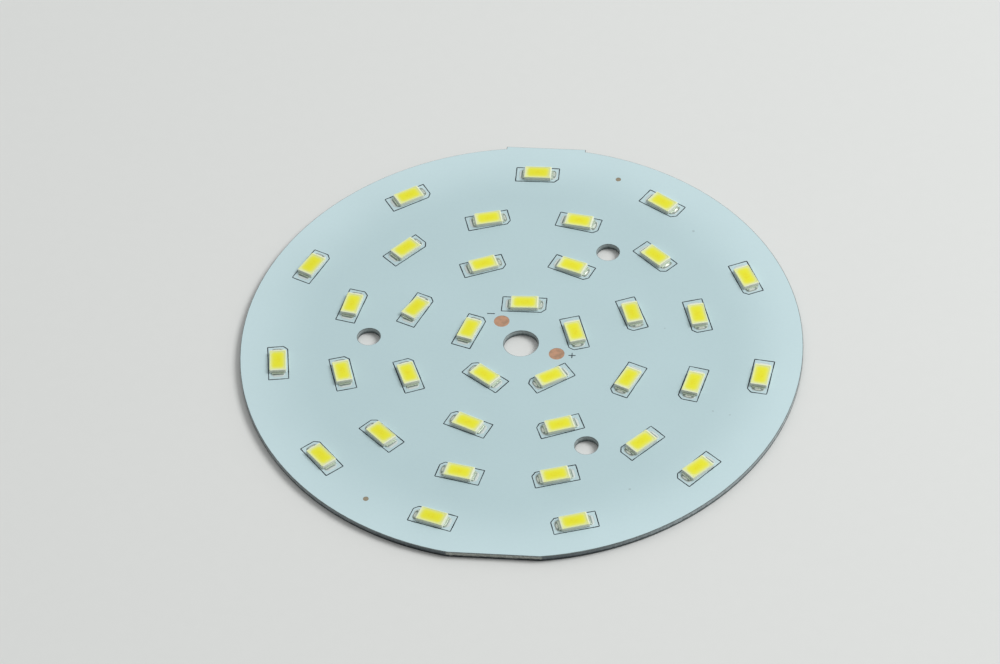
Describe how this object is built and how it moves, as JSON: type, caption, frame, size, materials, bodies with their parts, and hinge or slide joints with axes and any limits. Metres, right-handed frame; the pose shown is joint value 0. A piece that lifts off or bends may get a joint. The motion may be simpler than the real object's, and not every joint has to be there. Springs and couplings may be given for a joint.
{
  "type": "led aluminum board",
  "caption": "Round aluminium-core circuit board with rings of surface-mounted light-emitting diodes, a wire hole in the middle and screw holes for a heat sink.",
  "frame": {"origin": "on the wire hole's axis, at the underside of the aluminium plate", "axes": "+Z out of the diode side, +Y towards the break-off tab, +X to the right of it"},
  "size_m": [0.1, 0.0995, 0.002],
  "materials": {
    "aluminium": "satin, punched edge",
    "dielectric": "filled resin",
    "copper": "bare copper, satin",
    "mask": "printed white mask, satin",
    "ink": "printed ink, matte",
    "housing": "moulded white",
    "lead": "silver plated",
    "chip": "polished",
    "gold": "drawn wire",
    "phosphor": "soft gloss",
    "solder": "reflowed"
  },
  "bodies": {
    "root": {"aluminium_base": "aluminium", "dielectric_layer": "dielectric", "copper_foil": "copper", "solder_mask": "mask", "legend_outlines": "ink", "led_housing_01": "housing", "led_housing_02": "housing", "led_housing_03": "housing", "led_housing_04": "housing", "led_housing_05": "housing", "led_housing_06": "housing", "led_housing_07": "housing", "led_housing_08": "housing", "led_housing_09": "housing", "led_housing_10": "housing", "led_housing_11": "housing", "led_housing_12": "housing", "led_housing_13": "housing", "led_housing_14": "housing", "led_housing_15": "housing", "led_housing_16": "housing", "led_housing_17": "housing", "led_housing_18": "housing", "led_housing_19": "housing", "led_housing_20": "housing", "led_housing_21": "housing", "led_housing_22": "housing", "led_housing_23": "housing", "led_housing_24": "housing", "led_housing_25": "housing", "led_housing_26": "housing", "led_housing_27": "housing", "led_housing_28": "housing", "led_housing_29": "housing", "led_housing_30": "housing", "led_housing_31": "housing", "led_housing_32": "housing", "led_housing_33": "housing", "led_housing_34": "housing", "led_housing_35": "housing", "led_housing_36": "housing", "anode_leads": "lead", "cathode_leads": "lead", "led_chips": "chip", "bond_wires": "gold", "phosphor_fills": "phosphor", "solder_joints": "solder"}
  },
  "joints": []
}
